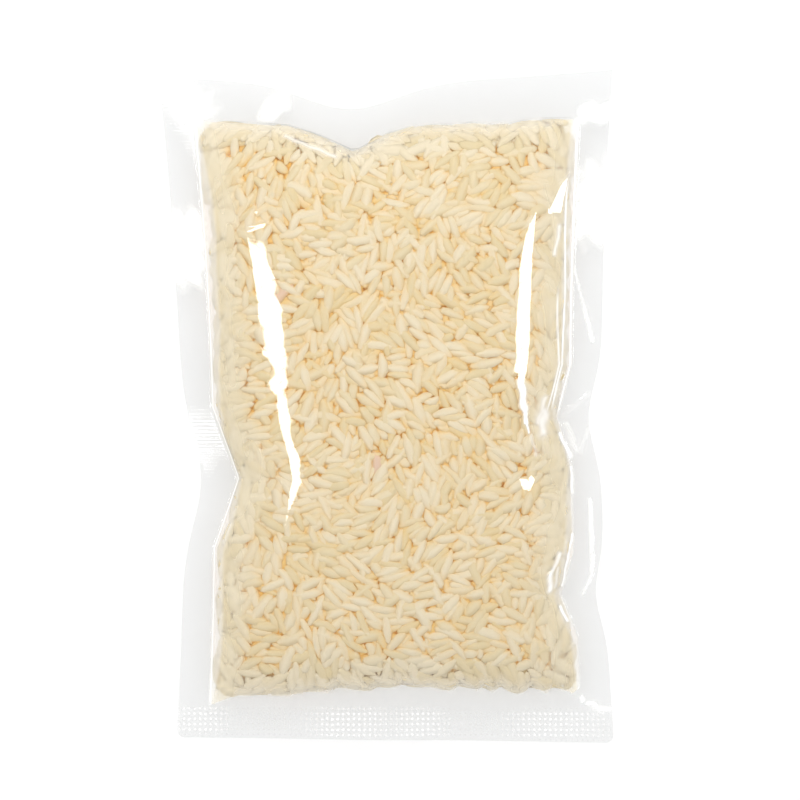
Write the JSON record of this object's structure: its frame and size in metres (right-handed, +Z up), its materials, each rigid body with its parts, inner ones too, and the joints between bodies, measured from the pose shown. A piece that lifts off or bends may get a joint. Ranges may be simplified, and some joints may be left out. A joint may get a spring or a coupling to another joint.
{
  "type": "vacuum pouch of konjac rice",
  "caption": "Clear flat vacuum pouch, welded round all four edges, packed tight with short pale grains of konjac rice that stand out through the film.",
  "frame": {"origin": "under the middle of the pouch, on the surface it lies on", "axes": "X across the pouch, +Y along it towards the top seal, +Z up out of the face that shows"},
  "size_m": [0.1199, 0.1774, 0.0194],
  "materials": {
    "rice": "moist cream grains seen through film",
    "film": "clear glossy flexible film"
  },
  "bodies": {
    "root": {"rice_bag": "rice"}
  },
  "joints": []
}
